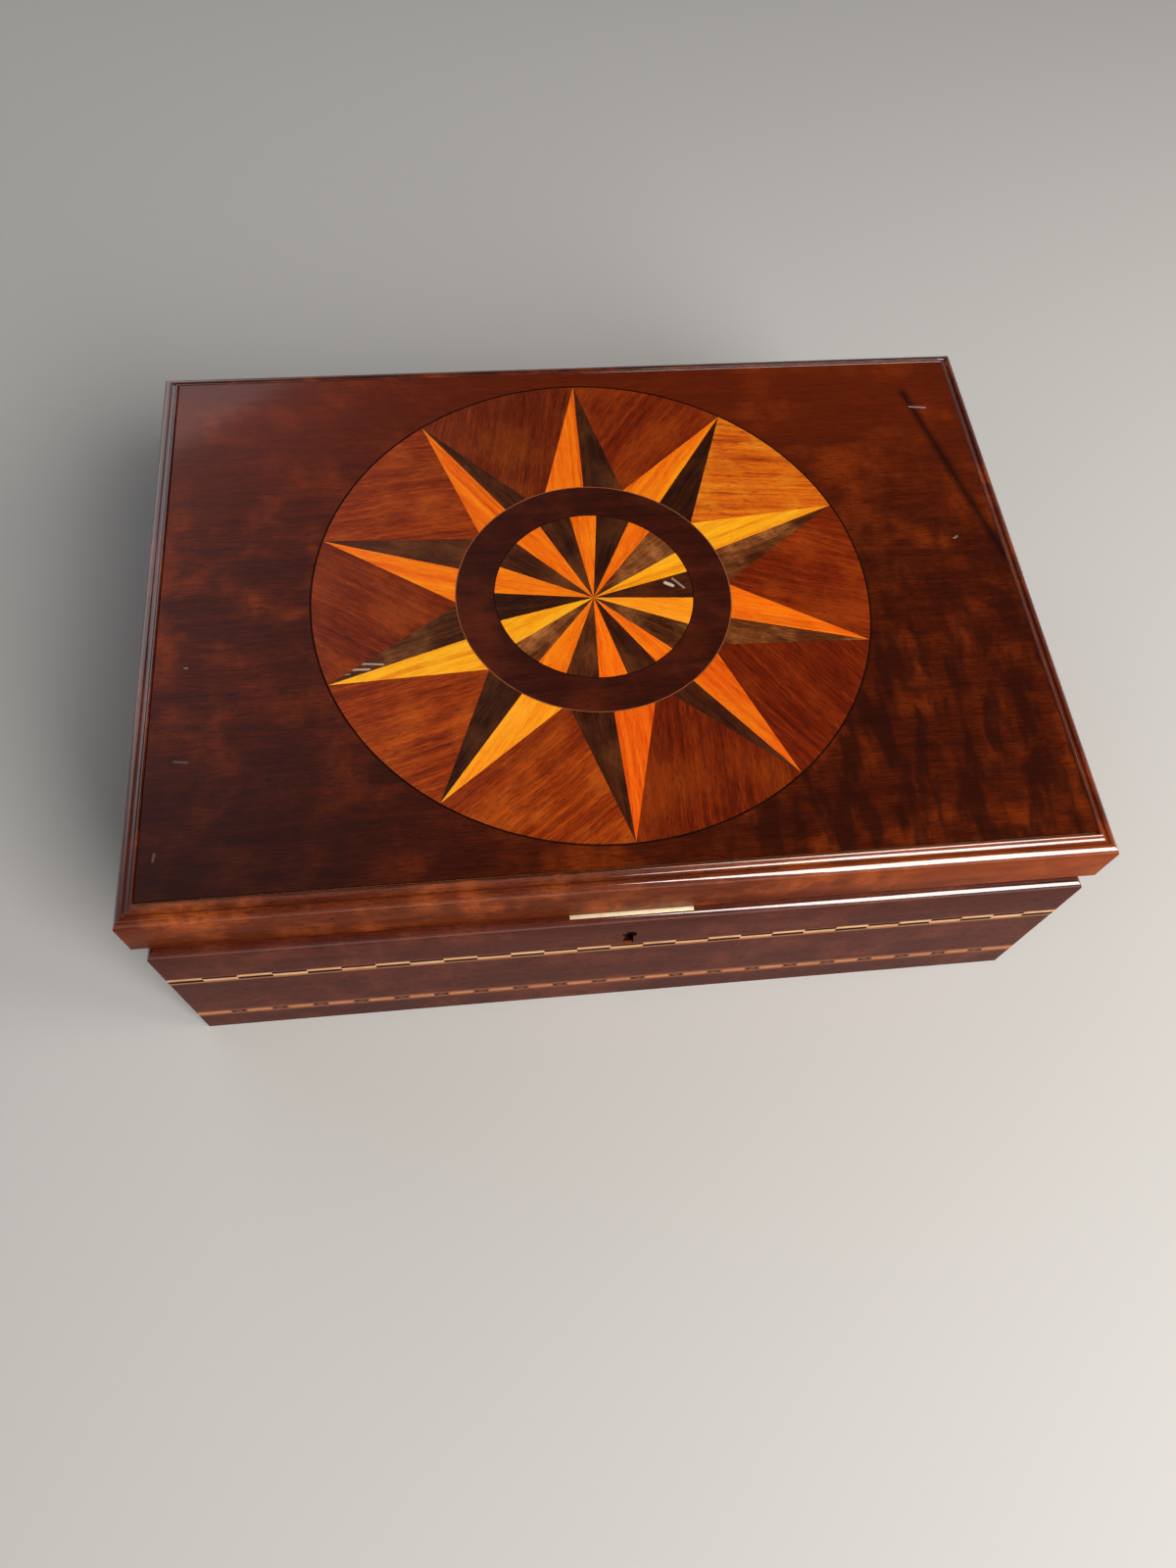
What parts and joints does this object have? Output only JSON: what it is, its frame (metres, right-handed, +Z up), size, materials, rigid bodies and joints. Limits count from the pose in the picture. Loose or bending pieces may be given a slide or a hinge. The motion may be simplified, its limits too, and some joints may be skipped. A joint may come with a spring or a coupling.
{
  "type": "keyed marquetry box",
  "caption": "Low rectangular mahogany box with a hinged, moulded lid, a star inlaid in a circle on its panel, inlaid bands, butt hinges and a front box lock.",
  "frame": {"origin": "centre of the footprint, hinge knuckles included, on the plane the box stands on", "axes": "+X to the right seen from the keyhole side, +Y to the hinges at the back, +Z up"},
  "size_m": [0.305, 0.224, 0.0993],
  "materials": {
    "carcase": "mahogany, French polished",
    "lid_frame": "mahogany, French polished",
    "groundwork": "plain softwood, unpolished",
    "flame_veneer": "figured mahogany veneer, French polished",
    "sector_veneer": "mahogany veneer, French polished",
    "light_veneer": "satinwood veneer, French polished",
    "dark_veneer": "rosewood veneer, French polished",
    "ring_veneer": "dark mahogany veneer, French polished",
    "banding": "boxwood with dark inlay, polished",
    "brass": "old brass, lightly tarnished",
    "steel": "dull iron"
  },
  "bodies": {
    "base": {"bottom_board": "groundwork", "front_wall": "carcase", "back_wall": "carcase", "left_wall": "carcase", "right_wall": "carcase", "upper_band_front": "banding", "upper_band_left": "banding", "upper_band_right": "banding", "lower_band_front": "banding", "lower_band_left": "banding", "lower_band_right": "banding", "hinge_left_base_leaf": "brass", "hinge_right_base_leaf": "brass", "lock_plate": "brass", "lock_lever": "brass", "hinge_left_pin": "steel", "hinge_right_pin": "steel", "lock_cap": "steel", "lock_drill_pin": "steel", "lock_lever_pivot": "steel", "lock_spring": "steel", "lock_screw_left": "steel", "lock_screw_right": "steel"},
    "lid": {"lid_board": "groundwork", "lid_rail_front": "lid_frame", "lid_rail_back": "lid_frame", "lid_rail_left": "lid_frame", "lid_rail_right": "lid_frame", "panel_ground": "flame_veneer", "light_point_1": "light_veneer", "light_point_2": "light_veneer", "light_point_3": "light_veneer", "light_point_4": "light_veneer", "light_point_5": "light_veneer", "light_point_6": "light_veneer", "light_point_7": "light_veneer", "light_point_8": "light_veneer", "light_point_9": "light_veneer", "light_point_10": "light_veneer", "rosette": "light_veneer", "dark_point_1": "dark_veneer", "dark_point_2": "dark_veneer", "dark_point_3": "dark_veneer", "dark_point_4": "dark_veneer", "dark_point_5": "dark_veneer", "dark_point_6": "dark_veneer", "dark_point_7": "dark_veneer", "dark_point_8": "dark_veneer", "dark_point_9": "dark_veneer", "dark_point_10": "dark_veneer", "sector_field": "sector_veneer", "ring": "ring_veneer", "link_plate": "brass", "link_screw_left": "steel", "link_screw_right": "steel", "hinge_left_lid_leaf": "brass", "hinge_right_lid_leaf": "brass"},
    "bolt": {"lock_bolt": "brass"}
  },
  "joints": [
    {"name": "lid_hinge", "type": "hinge", "parent": "base", "child": "lid", "pos_m": [0, 0.10975, 0.07785], "axis": [-1, 0, 0], "range_deg": [0, 100]},
    {"name": "bolt_slide", "type": "slide", "parent": "base", "child": "bolt", "axis": [1, 0, 0], "range_m": [0, 0.004]}
  ]
}
